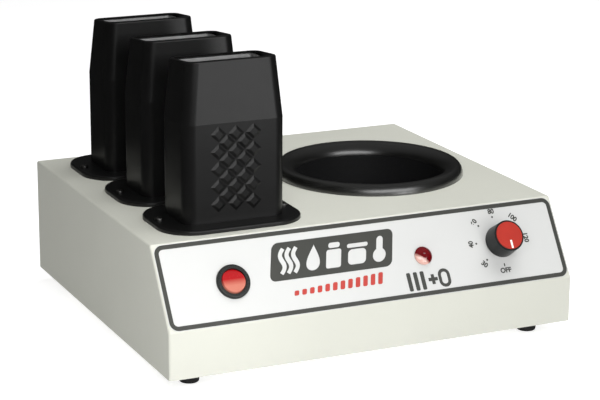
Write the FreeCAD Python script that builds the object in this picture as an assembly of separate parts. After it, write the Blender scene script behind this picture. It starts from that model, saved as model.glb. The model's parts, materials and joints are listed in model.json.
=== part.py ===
"""Wax warmer with three cartridge heaters and one heated pot.

A folded steel casing with a sloping control panel carries three moulded cartridge
housings along its left side and a round heated pot on its right.

Millimetres. +X is right, +Y is to the back, +Z is up. The origin is on the surface that
the warmer stands on, under the middle of the casing.
"""
import FreeCAD, Part
import math
import os

V = FreeCAD.Vector

# Casing: one folded sheet, open underneath
CASE_W = 300.0
CASE_D = 270.0
CASE_H = 82.4
FRONT_H = 31.9            # upright strip below the control panel
SLOPE_RUN = 32.9          # the panel's top edge is this far behind its bottom edge
SHEET = 1.2
FOLD_R = 1.5
FOOT_H = 10.0
TAB_W = 13.0              # welded tabs that the base plate is screwed to
TAB_D = 16.0
TAB_YS = (-98.0, 0.0, 98.0)
VENT_L = 22.0
VENT_W = 3.0
REAR_VENT_N = 9
REAR_VENT_PITCH = 8.0
REAR_VENT_X = 62.0
REAR_VENT_RISE = 54.0     # heights called rise are above the casing's bottom edge

# Base plate and feet
PLATE_GAP = 0.3
BASE_VENT_N = 8
BASE_VENT_L = 44.0
BASE_VENT_PITCH = 9.0
FOOT_X = 128.0
FOOT_Y = 113.5
FOOT_TOP_R = 7.6
FOOT_BOTTOM_R = 6.7
FOOT_EDGE_R = 1.2
FOOT_RECESS_R = 4.0
FOOT_RECESS_H = 4.0

# Control panel: places are (x, distance up the panel from its bottom edge)
LABEL_W = 297.4
LABEL_H = 58.6
LABEL_T = 0.3
LABEL_CORNER_R = 6.5
ROCKER_AT = (-99.0, 28.7)
LAMP_AT = (41.0, 29.0)
DIAL_AT = (102.2, 31.8)

# Round rocker switch, for a 20 mm hole
SWITCH_BODY_R = 9.9
SWITCH_BORE_R = 8.7
SWITCH_DEPTH = 21.0
BEZEL_R = 11.7
BEZEL_H = 2.0
BEZEL_EDGE_R = 1.2
BUTTON_R = 8.4
BUTTON_PEAK = 3.3
BUTTON_EDGE = 2.3
BUTTON_THROW = 9.0        # degrees each side of level
BUTTON_PIVOT = -0.4
BUTTON_SKIRT = 3.2
PIVOT_PIN_R = 1.1
PIN_RUNNING_GAP = 0.05
PIVOT_PIN_L = 18.8
SWITCH_BLADE = (0.8, 6.3, 9.0)
SWITCH_BLADE_PITCH = 5.4

# Indicator lamp
LENS_R = 6.4
LENS_FLAT_R = 0.8
LENS_H = 2.6
LAMP_BODY_R = 5.4
LAMP_HOLE_R = 5.6
LAMP_BODY_L = 24.0
LAMP_CLIP_R = 8.5
LAMP_CLIP_T = 1.0

# Thermostat and knob
SHAFT_R = 3.0
SHAFT_FLAT = 1.5          # distance from the axis to the flat of the shaft
SHAFT_TOP = 12.0
SHAFT_BOTTOM = -14.0
BUSH_R = 5.0
BUSH_TOP = 4.2
BUSH_HOLE_R = 5.2
THERMO_W = 42.0
THERMO_H = 34.0
THERMO_L = 19.0
NUT_AF = 14.0
NUT_H = 2.5
KNOB_R = 11.5
KNOB_TOP_R = 11.0
KNOB_GAP = 0.4
KNOB_H = 14.3
KNOB_WALL = 2.0
KNOB_RECESS_H = 5.0
CAP_R = 9.8
CAP_T = 1.2
CAP_PROUD = 0.5
POINTER_W = 1.4
POINTER_L = 5.8
POINTER_PROUD = 0.15

# Cartridge housings: three alike, front to back
HOUSING_X = -82.0
HOUSING_BODY_SHIFT = 1.5  # the tower stands this far right of its flange's middle
HOUSING_YS = {"front": -60.0, "middle": 15.5, "rear": 91.0}
HOUSING_BODY_W = 73.0
HOUSING_BODY_D = 43.5
HOUSING_BODY_R = 8.0
HOUSING_MOUTH_W = 65.0
HOUSING_MOUTH_D = 37.5
HOUSING_MOUTH_R = 8.0
HOUSING_STRAIGHT_H = 70.6
HOUSING_H = 112.5
HOUSING_TOP_FALL = 3.5    # the mouth is this much lower at the back
HOUSING_WALL = 2.0
HOUSING_RIM_R = 1.4
FLANGE_W = 102.5
FLANGE_D = 70.0
FLANGE_CORNER_R = 24.0
FLANGE_T = 3.2
FLANGE_EDGE_R = 1.4
HOUSING_SCREW_PITCH = 91.0
GRIP_PITCH_X = 12.6
GRIP_PITCH_Z = 11.9
GRIP_COLUMNS = 3
GRIP_ROWS = 5
GRIP_FILL = 0.92          # how much of its cell each grip diamond covers
GRIP_TOP_FILL = 0.5
GRIP_H = 0.9
GRIP_MID_H = 39.5         # middle of the grip above the casing's top

# Cartridge sleeves and their heaters
SLEEVE_W = 58.6
SLEEVE_D = 33.7
SLEEVE_R = 5.0
SLEEVE_WALL = 1.0
SLEEVE_H = 104.3
MICA_W = 66.0
MICA_D = 38.4
MICA_T = 3.0
HEATER_T = 2.8
HEATER_D = 28.0
HEATER_H = 42.0
HEATER_Z = 12.0
SPRING_T = 0.5
SPRING_BOW = 1.4
SPRING_D = 18.0
SPRING_H = 38.0
LEAD_HOLE_R = 4.0
LEAD_R = 1.2
BEND_SHARE = 0.45         # how much of each straight run a lead's bend may take
LEAD_X = SLEEVE_W / 2 + HEATER_T / 2

# Pot and its collar
POT_X = 63.0
POT_Y = 7.8
POT_R = 54.0
POT_WALL = 2.0
POT_FLOOR = 3.0
POT_DEPTH = 66.0
POT_CORNER_R = 6.0
POT_RIM_R = 62.0
POT_RIM_T = 1.5
POT_SEAT_R = 55.5         # the mouth is this wide, where the collar's lip sits in it
POT_SEAT_D = 1.7
POT_HOLE_R = 59.0
COLLAR_R = 69.0
COLLAR_H = 7.5
COLLAR_EDGE_R = 5.0
COLLAR_LIP_R = 10.0
COLLAR_LIP_D = 1.5
COLLAR_RIM_GAP = 0.4
CLAMP_RING_IN = 60.0
CLAMP_RING_OUT = 68.0
CLAMP_RING_T = 1.5
COLLAR_SCREW_R = 65.4
COLLAR_SCREW_N = 3
BAND_T = 3.0
BAND_H = 36.0
BAND_RISE = 26.0
BAND_GAP = 9.0
EAR_L = 9.0
EAR_T = 1.5
BAND_SCREW_R = 2.0
WOOL_T = 9.0
WOOL_H = 44.0
WOOL_RISE = 22.0
WOOL_SLOT = 26.0
CUTOUT_R = 8.0
CUTOUT_H = 6.0
CUTOUT_CAP_R = 5.0
BULB_R = 3.2
BULB_L = 56.0
BULB_OFFSET_Y = 22.0
BULB_CLIP_T = 1.0
BULB_CLIP_W = 10.0
CAPILLARY_R = 0.9

# Mains inlet on the back
INLET_X = -100.0
INLET_RISE = 32.0
INLET_FLANGE_W = 50.0
INLET_FLANGE_H = 24.0
INLET_FLANGE_T = 3.0
INLET_BODY_W = 30.0
INLET_BODY_H = 22.0
INLET_BODY_L = 24.0
INLET_SOCKET_W = 25.0
INLET_SOCKET_H = 17.0
INLET_SOCKET_L = 17.0
INLET_SCREW_PITCH = 40.0
PIN_W = 2.0
PIN_H = 5.0
PIN_L = 30.0
PIN_PITCH = 7.0
PIN_RISE = 4.0

# Terminal block, on the base plate
TERMINAL_X = -40.0
TERMINAL_Y = 70.0
TERMINAL_WAYS = 6
TERMINAL_PITCH = 10.0
TERMINAL_D = 20.0
TERMINAL_H = 16.0
TERMINAL_BORE_R = 2.2

# Screws
M3_R = 1.5
M4_R = 2.0
M4_NUT_AF = 7.0
M4_NUT_H = 3.2
CLEAR = 0.2
EMBED = 0.4
DEEP = 400.0

CASE_Z = FOOT_H
TOP_Z = FOOT_H + CASE_H
PLATE_TOP_Z = CASE_Z + SHEET
REAR_VENT_Z = CASE_Z + REAR_VENT_RISE
BAND_Z = CASE_Z + BAND_RISE
WOOL_Z = CASE_Z + WOOL_RISE
INLET_Z = CASE_Z + INLET_RISE
PANEL_ANGLE = math.degrees(math.atan2(CASE_H - FRONT_H, SLOPE_RUN))
PANEL_L = math.hypot(CASE_H - FRONT_H, SLOPE_RUN)
PANEL = FreeCAD.Placement(V(0, -CASE_D / 2, CASE_Z + FRONT_H),
                          FreeCAD.Rotation(V(1, 0, 0), PANEL_ANGLE))
BACK_Y = CASE_D / 2

parts = {}


def box(x0, x1, y0, y1, z0, z1):
    """Block between two corners."""
    return Part.makeBox(x1 - x0, y1 - y0, z1 - z0, V(x0, y0, z0))


def block(width, depth, height, at):
    """Block centred in X and Y on a point, standing on it."""
    return Part.makeBox(width, depth, height, at - V(width / 2, depth / 2, 0))


def rod(radius, length, at, along=V(0, 0, 1)):
    """Cylinder that starts at a point."""
    return Part.makeCylinder(radius, length, at, along)


def rounded_wire(width, depth, radius, at):
    """Rectangle with round corners, level, centred on a point."""
    w = width / 2
    d = depth / 2
    k = radius * (1 - math.sqrt(0.5))
    corners = ((w, -d, -1, 1), (w, d, -1, -1), (-w, d, 1, -1), (-w, -d, 1, 1))
    edges = []
    ends = []
    for i, (x, y, sx, sy) in enumerate(corners):
        along_y = V(x, y + sy * radius, 0)
        along_x = V(x + sx * radius, y, 0)
        middle = V(x + sx * k, y + sy * k, 0)
        start, stop = (along_x, along_y) if i % 2 == 0 else (along_y, along_x)
        ends.append((at + start, at + middle, at + stop))
    for i, (start, middle, stop) in enumerate(ends):
        edges.append(Part.Arc(start, middle, stop).toShape())
        edges.append(Part.makeLine(stop, ends[(i + 1) % 4][0]))
    return Part.Wire(edges)


def rounded_plate(width, depth, radius, thickness, at):
    """Plate with round corners, standing on a point."""
    return Part.Face(rounded_wire(width, depth, radius, at)).extrude(V(0, 0, thickness))


def turned(points, centre):
    """Solid of revolution about an upright axis from (radius, height) points or arcs."""
    edges = []
    last = None
    for item in points:
        if len(item) == 3:
            start, middle, stop = (centre + V(r, 0, z) for r, z in (last, item[1], item[2]))
            edges.append(Part.Arc(start, middle, stop).toShape())
            last = item[2]
            continue
        if last is not None:
            edges.append(Part.makeLine(centre + V(last[0], 0, last[1]), centre + V(item[0], 0, item[1])))
        last = item
    face = Part.Face(Part.Wire(edges))
    return face.revolve(centre, V(0, 0, 1), 360)


def quarter(centre, radius, start, stop):
    """Arc item for turned(): a stretch of a circle between two angles in degrees."""
    def at(angle):
        a = math.radians(angle)
        return (centre[0] + radius * math.cos(a), centre[1] + radius * math.sin(a))
    return (at(start), at((start + stop) / 2), at(stop))


def hexagon(across_flats, height, at):
    """Hexagonal prism, standing on a point."""
    r = across_flats / 2 / math.cos(math.pi / 6)
    corners = [at + V(r * math.cos(i * math.pi / 3), r * math.sin(i * math.pi / 3), 0) for i in range(7)]
    return Part.Face(Part.makePolygon(corners)).extrude(V(0, 0, height))


def screw(radius, length, at, into=V(0, 0, -1)):
    """Pan head screw with a cross recess. at is where its head meets the work."""
    head_r = radius * 1.9
    head_h = radius * 1.3
    slot_w = radius * 0.5
    slot_l = radius * 2.0
    slot_h = radius * 0.7
    head = rod(head_r, head_h, V(0, 0, 0))
    head = head.makeFillet(head_h * 0.6, [head.Edges[0]])
    for width, depth in ((slot_w, slot_l), (slot_l, slot_w)):
        head = head.cut(block(width, depth, slot_h, V(0, 0, head_h - slot_h)))
    body = head.fuse(rod(radius, length, V(0, 0, 0), V(0, 0, -1))).removeSplitter()
    body.Placement = FreeCAD.Placement(at, FreeCAD.Rotation(V(0, 0, -1), into))
    return body


def on_panel(shape):
    """Moves a shape from the flat panel's own frame to its place on the casing."""
    moved = shape.copy()
    moved.Placement = PANEL.multiply(moved.Placement)
    return moved


def panel_point(place, rise):
    """Point of the casing's frame for (x, up the panel) and a rise above the sheet."""
    return PANEL.multVec(V(place[0], place[1], rise))


def tube(points, radius):
    """Round lead: straight runs joined by tangent arcs."""
    edges = []
    start = points[0]
    for before, corner, after in zip(points, points[1:], points[2:]):
        run_in = corner - before
        run_out = after - corner
        turn = run_in.getAngle(run_out)
        reach = BEND_SHARE * min(run_in.Length, run_out.Length)
        bend = reach / math.tan(turn / 2)
        enter = corner - run_in.normalize() * reach
        leave = corner + run_out.normalize() * reach
        inward = (leave + enter) / 2 - corner
        depth = bend / math.cos(turn / 2) - bend
        middle = corner + inward.normalize() * depth
        edges.append(Part.makeLine(start, enter))
        edges.append(Part.Arc(enter, middle, leave).toShape())
        start = leave
    edges.append(Part.makeLine(start, points[-1]))
    path = Part.Wire(edges)
    section = Part.Wire(Part.makeCircle(radius, points[0], points[1] - points[0]))
    return path.makePipeShell([section], True, False)


def casing_solid(inset, drop):
    """Solid casing block, moved inward by inset and lengthened downward by drop."""
    front = -BACK_Y + inset
    back = BACK_Y - inset
    top = TOP_Z - inset
    low_bend = inset * math.tan(math.radians(90 - PANEL_ANGLE) / 2)
    high_bend = inset * math.tan(math.radians(PANEL_ANGLE) / 2)
    outline = ((front, CASE_Z - drop), (front, CASE_Z + FRONT_H - low_bend),
               (-BACK_Y + SLOPE_RUN + high_bend, top), (back, top), (back, CASE_Z - drop))
    x = -CASE_W / 2 + inset
    wire = Part.makePolygon([V(x, y, z) for y, z in outline + outline[:1]])
    return Part.Face(wire).extrude(V(CASE_W - 2 * inset, 0, 0))


def tab_places():
    """Middles of the tabs, on the base plate's upper side."""
    x = CASE_W / 2 - SHEET - TAB_W / 2
    return [V(side * x, y, PLATE_TOP_Z) for side in (-1, 1) for y in TAB_YS]


def foot_places():
    """Middles of the feet, on the standing surface."""
    return {"front_left": V(-FOOT_X, -FOOT_Y, 0), "front_right": V(FOOT_X, -FOOT_Y, 0),
            "rear_left": V(-FOOT_X, FOOT_Y, 0), "rear_right": V(FOOT_X, FOOT_Y, 0)}


def housing_places():
    """Middles of the cartridge housings' towers, on the casing's top."""
    return {name: V(HOUSING_X + HOUSING_BODY_SHIFT, y, TOP_Z) for name, y in HOUSING_YS.items()}


def housing_screw_places():
    """Where the housing screws meet the casing's top, two to a housing."""
    middle = V(-HOUSING_BODY_SHIFT, 0, 0)
    reach = V(HOUSING_SCREW_PITCH / 2, 0, 0)
    return [at + middle + reach * side for at in housing_places().values() for side in (-1, 1)]


def collar_screw_places():
    """Axes of the collar's screws, on the casing's top."""
    angles = [math.radians(90 + i * 360 / COLLAR_SCREW_N) for i in range(COLLAR_SCREW_N)]
    return [V(POT_X + COLLAR_SCREW_R * math.cos(a), POT_Y + COLLAR_SCREW_R * math.sin(a), TOP_Z)
            for a in angles]


def inlet_screw_places():
    """Where the inlet's screws meet its flange."""
    y = BACK_Y + INLET_FLANGE_T
    return [V(INLET_X + side * INLET_SCREW_PITCH / 2, y, INLET_Z) for side in (-1, 1)]


def make_casing():
    """Folded sheet casing with its tabs and every hole through it."""
    outer = casing_solid(0, 0)
    folds = [e for e in outer.Edges if e.BoundBox.ZMax > CASE_Z + FOLD_R]
    shell = outer.makeFillet(FOLD_R, folds).cut(casing_solid(SHEET, 1))
    for at in tab_places():
        side = math.copysign(1, at.x)
        shell = shell.fuse(block(TAB_W + EMBED, TAB_D, SHEET, at + V(side * EMBED / 2, 0, 0)))
        shell = shell.cut(rod(M3_R + CLEAR, 3 * SHEET, at - V(0, 0, SHEET)))
    holes = [rod(POT_HOLE_R, 4 * SHEET, V(POT_X, POT_Y, TOP_Z - 2 * SHEET))]
    for at in housing_screw_places() + collar_screw_places():
        holes.append(rod(M3_R + CLEAR, 4 * SHEET, at - V(0, 0, 2 * SHEET)))
    for at in housing_places().values():
        holes.append(rod(LEAD_HOLE_R, 4 * SHEET, at + V(LEAD_X, 0, -2 * SHEET)))
    for place, radius in ((ROCKER_AT, SWITCH_BODY_R + CLEAR), (LAMP_AT, LAMP_HOLE_R), (DIAL_AT, BUSH_HOLE_R)):
        holes.append(on_panel(rod(radius, 4 * SHEET, V(place[0], place[1], -2 * SHEET))))
    holes.append(box(INLET_X - INLET_BODY_W / 2 - CLEAR, INLET_X + INLET_BODY_W / 2 + CLEAR,
                     BACK_Y - 2 * SHEET, BACK_Y + SHEET,
                     INLET_Z - INLET_BODY_H / 2 - CLEAR, INLET_Z + INLET_BODY_H / 2 + CLEAR))
    for at in inlet_screw_places():
        holes.append(rod(M3_R + CLEAR, 6 * SHEET + INLET_FLANGE_T, at, V(0, -1, 0)))
    for i in range(REAR_VENT_N):
        x = REAR_VENT_X + (i - (REAR_VENT_N - 1) / 2) * REAR_VENT_PITCH
        holes.append(box(x - VENT_W / 2, x + VENT_W / 2, BACK_Y - 2 * SHEET, BACK_Y + SHEET,
                         REAR_VENT_Z - VENT_L / 2, REAR_VENT_Z + VENT_L / 2))
    return shell.cut(Part.makeCompound(holes))


def make_base_plate():
    """Flat tray that closes the casing from below."""
    x = CASE_W / 2 - SHEET - PLATE_GAP
    y = BACK_Y - SHEET - PLATE_GAP
    plate = box(-x, x, -y, y, CASE_Z, PLATE_TOP_Z)
    holes = [rod(M3_R + CLEAR, 4 * SHEET, at - V(0, 0, 2 * SHEET)) for at in tab_places()]
    holes += [rod(M4_R + CLEAR, DEEP, at) for at in foot_places().values()]
    for middle in (HOUSING_X, POT_X):
        for i in range(BASE_VENT_N):
            y = (i - (BASE_VENT_N - 1) / 2) * BASE_VENT_PITCH
            holes.append(rounded_plate(BASE_VENT_L, VENT_W, VENT_W / 2 - CLEAR, DEEP, V(middle, y, 0)))
    return plate.cut(Part.makeCompound(holes))


def make_foot(at):
    """Rubber foot with a recess for its screw."""
    bore = M4_R + CLEAR
    edge = (FOOT_BOTTOM_R - FOOT_EDGE_R, FOOT_EDGE_R)
    outline = [(bore, FOOT_H), (FOOT_TOP_R, FOOT_H), (FOOT_BOTTOM_R, FOOT_EDGE_R),
               quarter(edge, FOOT_EDGE_R, 0, -90),
               (FOOT_RECESS_R, 0), (FOOT_RECESS_R, FOOT_RECESS_H), (bore, FOOT_RECESS_H), (bore, FOOT_H)]
    return turned(outline, at)


def make_feet():
    """Four feet, with the screws and nuts that hold them."""
    screws = []
    nuts = []
    for name, at in foot_places().items():
        parts["foot_" + name] = make_foot(at)
        length = FOOT_H - FOOT_RECESS_H + SHEET + M4_NUT_H + M4_R / 2
        screws.append(screw(M4_R, length, at + V(0, 0, FOOT_RECESS_H), V(0, 0, 1)))
        nut = hexagon(M4_NUT_AF, M4_NUT_H, V(at.x, at.y, PLATE_TOP_Z))
        nuts.append(nut.cut(rod(M4_R, DEEP, at)))
    parts["foot_screws"] = Part.makeCompound(screws)
    parts["foot_nuts"] = Part.makeCompound(nuts)


def make_label():
    """Printed overlay on the control panel."""
    sheet = rounded_plate(LABEL_W, LABEL_H, LABEL_CORNER_R, LABEL_T, V(0, PANEL_L / 2, 0))
    nut_hole_r = NUT_AF / 2 / math.cos(math.pi / 6) + CLEAR
    for place, radius in ((ROCKER_AT, SWITCH_BODY_R + CLEAR), (LAMP_AT, LAMP_HOLE_R), (DIAL_AT, nut_hole_r)):
        sheet = sheet.cut(rod(radius, 2 * SHEET, V(place[0], place[1], -SHEET)))
    return on_panel(sheet)


def make_rocker_switch():
    """Round rocker switch: moulded body, rocking button and terminal blades."""
    at = V(ROCKER_AT[0], ROCKER_AT[1], 0)
    top = LABEL_T + BEZEL_H
    well_floor = BUTTON_PIVOT - 2 * BUTTON_SKIRT
    outline = [(0, -SWITCH_DEPTH), (SWITCH_BODY_R, -SWITCH_DEPTH), (SWITCH_BODY_R, LABEL_T),
               (BEZEL_R, LABEL_T), (BEZEL_R, top - BEZEL_EDGE_R),
               quarter((BEZEL_R - BEZEL_EDGE_R, top - BEZEL_EDGE_R), BEZEL_EDGE_R, 0, 90),
               (SWITCH_BORE_R, top), (SWITCH_BORE_R, well_floor), (0, well_floor), (0, -SWITCH_DEPTH)]
    pivot = at + V(0, 0, BUTTON_PIVOT)
    bore_l = PIVOT_PIN_L + 2 * CLEAR
    bore = rod(PIVOT_PIN_R + PIN_RUNNING_GAP, bore_l, pivot - V(bore_l / 2, 0, 0), V(1, 0, 0))
    parts["rocker_housing"] = on_panel(turned(outline, at).cut(bore))

    reach = BUTTON_R + 1
    slope = (BUTTON_PEAK - BUTTON_EDGE) / BUTTON_R
    edge = BUTTON_PEAK - slope * reach
    side = ((-reach, -BUTTON_SKIRT), (reach, -BUTTON_SKIRT), (reach, edge), (0, BUTTON_PEAK), (-reach, edge))
    points = [pivot + V(-reach, y, z) for y, z in side + side[:1]]
    wedge = Part.Face(Part.makePolygon(points)).extrude(V(2 * reach, 0, 0))
    button = wedge.common(Part.makeSphere(BUTTON_R, pivot))
    pin = rod(PIVOT_PIN_R, PIVOT_PIN_L, pivot - V(PIVOT_PIN_L / 2, 0, 0), V(1, 0, 0))
    button = button.fuse(pin)
    button.rotate(pivot, V(1, 0, 0), -BUTTON_THROW)
    parts["rocker_button"] = on_panel(button)

    thick, wide, long = SWITCH_BLADE
    seat = at - V(0, 0, SWITCH_DEPTH + long)
    blades = [block(wide, thick, long, seat + V(0, i * SWITCH_BLADE_PITCH, 0)) for i in (-1, 0, 1)]
    parts["rocker_terminals"] = on_panel(Part.makeCompound(blades))


def make_indicator():
    """Indicator lamp: domed lens, body behind it and the clip behind the panel."""
    at = V(LAMP_AT[0], LAMP_AT[1], 0)
    rim = LABEL_T + LENS_H / 3
    crown = LABEL_T + LENS_H
    seat = -SHEET
    half = math.sqrt(0.5)
    dome = ((LENS_R, rim), (LENS_R * half, rim + (crown - rim) * half), (LENS_FLAT_R, crown))
    lens = [(0, seat), (LAMP_BODY_R, seat), (LAMP_BODY_R, LABEL_T), (LENS_R, LABEL_T), (LENS_R, rim),
            dome, (0, crown), (0, seat)]
    parts["indicator_lens"] = on_panel(turned(lens, at))
    body = rod(LAMP_BODY_R, LAMP_BODY_L, at + V(0, 0, seat), V(0, 0, -1))
    parts["indicator_body"] = on_panel(body)
    clip = rod(LAMP_CLIP_R, LAMP_CLIP_T, at + V(0, 0, seat), V(0, 0, -1))
    parts["indicator_clip"] = on_panel(clip.cut(body))


def shaft_section(height, base):
    """Round shaft with a flat along it, standing on a height above the panel."""
    at = V(DIAL_AT[0], DIAL_AT[1], base)
    flat = block(2 * SHAFT_R, 4 * SHAFT_R, height, at + V(SHAFT_FLAT + SHAFT_R, 0, 0))
    return rod(SHAFT_R, height, at).cut(flat)


def make_thermostat():
    """Capillary thermostat: body with its bush, turning shaft and nut."""
    at = V(DIAL_AT[0], DIAL_AT[1], 0)
    body = block(THERMO_W, THERMO_H, THERMO_L, at - V(0, 0, SHEET + THERMO_L))
    body = body.fuse(rod(BUSH_R, BUSH_TOP + SHEET, at - V(0, 0, SHEET)))
    bore_r = SHAFT_R + PIN_RUNNING_GAP
    body = body.cut(rod(bore_r, DEEP, at + V(0, 0, SHAFT_BOTTOM - CLEAR)))
    parts["thermostat_body"] = on_panel(body)
    flat_base = BUSH_TOP + CLEAR
    shaft = rod(SHAFT_R, flat_base - SHAFT_BOTTOM, at + V(0, 0, SHAFT_BOTTOM))
    parts["thermostat_shaft"] = on_panel(shaft.fuse(shaft_section(SHAFT_TOP - flat_base, flat_base)))
    nut = hexagon(NUT_AF, NUT_H, at).cut(rod(BUSH_R, DEEP, at))
    parts["thermostat_nut"] = on_panel(nut)


def make_knob():
    """Control knob: skirted body on the shaft, coloured cap and inlaid pointer."""
    at = V(DIAL_AT[0], DIAL_AT[1], 0)
    foot = LABEL_T + KNOB_GAP
    edge = KNOB_R - KNOB_TOP_R
    cap_floor = KNOB_H + CAP_PROUD - CAP_T
    inner = KNOB_R - KNOB_WALL
    outline = [(inner, foot), (KNOB_R, foot), (KNOB_TOP_R, KNOB_H - edge / 2),
               (KNOB_TOP_R - edge / 4, KNOB_H), (CAP_R, KNOB_H), (CAP_R, cap_floor), (0, cap_floor),
               (0, KNOB_RECESS_H), (inner, KNOB_RECESS_H), (inner, foot)]
    body = turned(outline, at).cut(shaft_section(SHAFT_TOP - KNOB_RECESS_H + 1, KNOB_RECESS_H - 1))
    parts["knob_body"] = on_panel(body)
    cap = rod(CAP_R, CAP_T, at + V(0, 0, cap_floor))
    rim = [e for e in cap.Edges if e.BoundBox.ZMin > cap_floor + CAP_T - CLEAR]
    cap = cap.makeFillet(CAP_PROUD * 0.8, rim)
    pointer_middle = at - V(0, CAP_R - CAP_PROUD - POINTER_L / 2, 0)
    pointer = block(POINTER_W, POINTER_L, CAP_T / 2 + POINTER_PROUD,
                    pointer_middle + V(0, 0, cap_floor + CAP_T / 2))
    parts["knob_cap"] = on_panel(cap.cut(pointer))
    parts["knob_pointer"] = on_panel(pointer)


def tower(inset, base, top):
    """Straight then tapering body of a housing, moved inward by inset."""
    up = HOUSING_STRAIGHT_H
    slope = (top - up) / (HOUSING_H - up)
    body = (HOUSING_BODY_W, HOUSING_BODY_D, HOUSING_BODY_R)
    mouth = (HOUSING_MOUTH_W, HOUSING_MOUTH_D, HOUSING_MOUTH_R)
    end = [b + (m - b) * slope for b, m in zip(body, mouth)]
    wires = []
    for (width, depth, radius), z in ((body, base), (body, up), (end, top)):
        wires.append(rounded_wire(width - 2 * inset, depth - 2 * inset, radius - inset, V(0, 0, z)))
    return Part.makeLoft(wires, True, True)


def grip_diamond(x, z):
    """Flat-topped diamond of the grip pattern, on the housing's front."""
    rings = []
    for depth, fill in ((-EMBED, GRIP_FILL), (0, GRIP_FILL), (GRIP_H, GRIP_TOP_FILL)):
        y = -HOUSING_BODY_D / 2 - depth
        w = GRIP_PITCH_X / 2 * fill
        h = GRIP_PITCH_Z / 2 * fill
        corners = [V(x + w, y, z), V(x, y, z + h), V(x - w, y, z), V(x, y, z - h)]
        rings.append(Part.makePolygon(corners + corners[:1]))
    return Part.makeLoft(rings, True, True)


def grip_centres():
    """Middles of the grip's diamonds: full rows with shorter rows set between them."""
    centres = []
    for columns, rows in ((GRIP_COLUMNS, GRIP_ROWS), (GRIP_COLUMNS - 1, GRIP_ROWS - 1)):
        for i in range(columns):
            for j in range(rows):
                x = (i - (columns - 1) / 2) * GRIP_PITCH_X
                centres.append((x, GRIP_MID_H + (j - (rows - 1) / 2) * GRIP_PITCH_Z))
    return centres


def on_bore(edge):
    """True for an edge of the mouth's inner rim."""
    x = HOUSING_MOUTH_W / 2 - HOUSING_WALL / 2
    y = HOUSING_MOUTH_D / 2 - HOUSING_WALL / 2
    middle = edge.valueAt((edge.FirstParameter + edge.LastParameter) / 2)
    reach = HOUSING_MOUTH_R * (1 - math.sqrt(0.5))
    if abs(middle.x) < x - reach and abs(middle.y) < y:
        return True
    return abs(middle.x) < x and abs(middle.y) < y - reach


def make_housing():
    """One moulded cartridge housing, its tower standing on the origin."""
    middle = V(-HOUSING_BODY_SHIFT, 0, 0)
    flange = rounded_plate(FLANGE_W, FLANGE_D, FLANGE_CORNER_R, FLANGE_T, middle)
    flange = flange.makeFillet(FLANGE_EDGE_R, [e for e in flange.Edges if e.BoundBox.ZMin > FLANGE_T - CLEAR])
    fall = math.degrees(math.atan2(HOUSING_TOP_FALL, HOUSING_MOUTH_D))
    lid = block(DEEP, DEEP, DEEP, V(0, 0, HOUSING_H - HOUSING_TOP_FALL / 2))
    lid.rotate(V(0, 0, HOUSING_H - HOUSING_TOP_FALL / 2), V(1, 0, 0), -fall)
    body = tower(0, 0, HOUSING_H + 1).cut(lid)
    body = body.cut(tower(HOUSING_WALL, -1, HOUSING_H + 2))
    rims = [e for e in body.Edges if e.BoundBox.ZMin > HOUSING_H - HOUSING_TOP_FALL - 1]
    outer = [e for e in rims if not on_bore(e)]
    body = body.makeFillet(HOUSING_RIM_R, outer)
    hollow = rounded_plate(HOUSING_BODY_W - 2 * HOUSING_WALL, HOUSING_BODY_D - 2 * HOUSING_WALL,
                           HOUSING_BODY_R - HOUSING_WALL, 2 * FLANGE_T, V(0, 0, -FLANGE_T / 2))
    shape = flange.cut(hollow).fuse(body)
    for side in (-1, 1):
        shape = shape.cut(rod(M3_R + CLEAR, DEEP, middle + V(side * HOUSING_SCREW_PITCH / 2, 0, -1)))
    return shape.fuse([grip_diamond(x, z) for x, z in grip_centres()])


def make_sleeve():
    """One drawn aluminium sleeve with a closed floor, standing on the origin."""
    outer = rounded_plate(SLEEVE_W, SLEEVE_D, SLEEVE_R, SLEEVE_H, V(0, 0, 0))
    inner = rounded_plate(SLEEVE_W - 2 * SLEEVE_WALL, SLEEVE_D - 2 * SLEEVE_WALL, SLEEVE_R - SLEEVE_WALL,
                          SLEEVE_H, V(0, 0, SLEEVE_WALL))
    return outer.cut(inner)


def make_mica():
    """One insulating plate under a sleeve, notched for the lead."""
    plate = rounded_plate(MICA_W, MICA_D, HOUSING_BODY_R - HOUSING_WALL, MICA_T, V(0, 0, 0))
    return plate.cut(block(2 * LEAD_HOLE_R, LEAD_HOLE_R, MICA_T, V(LEAD_X + LEAD_HOLE_R / 2, 0, 0)))


def make_spring():
    """One bowed leaf that presses a heater to its sleeve, middle on the origin."""
    def leaf(shift):
        return (V(shift, 0, -SPRING_H / 2), V(shift + SPRING_BOW, 0, 0), V(shift, 0, SPRING_H / 2))
    inner = leaf(0)
    outer = leaf(SPRING_T)
    outline = Part.Wire([Part.Arc(*inner).toShape(), Part.makeLine(inner[2], outer[2]),
                         Part.Arc(outer[2], outer[1], outer[0]).toShape(), Part.makeLine(outer[0], inner[0])])
    solid = Part.Face(outline).extrude(V(0, SPRING_D, 0))
    solid.translate(V(0, -SPRING_D / 2, 0))
    return solid


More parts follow.
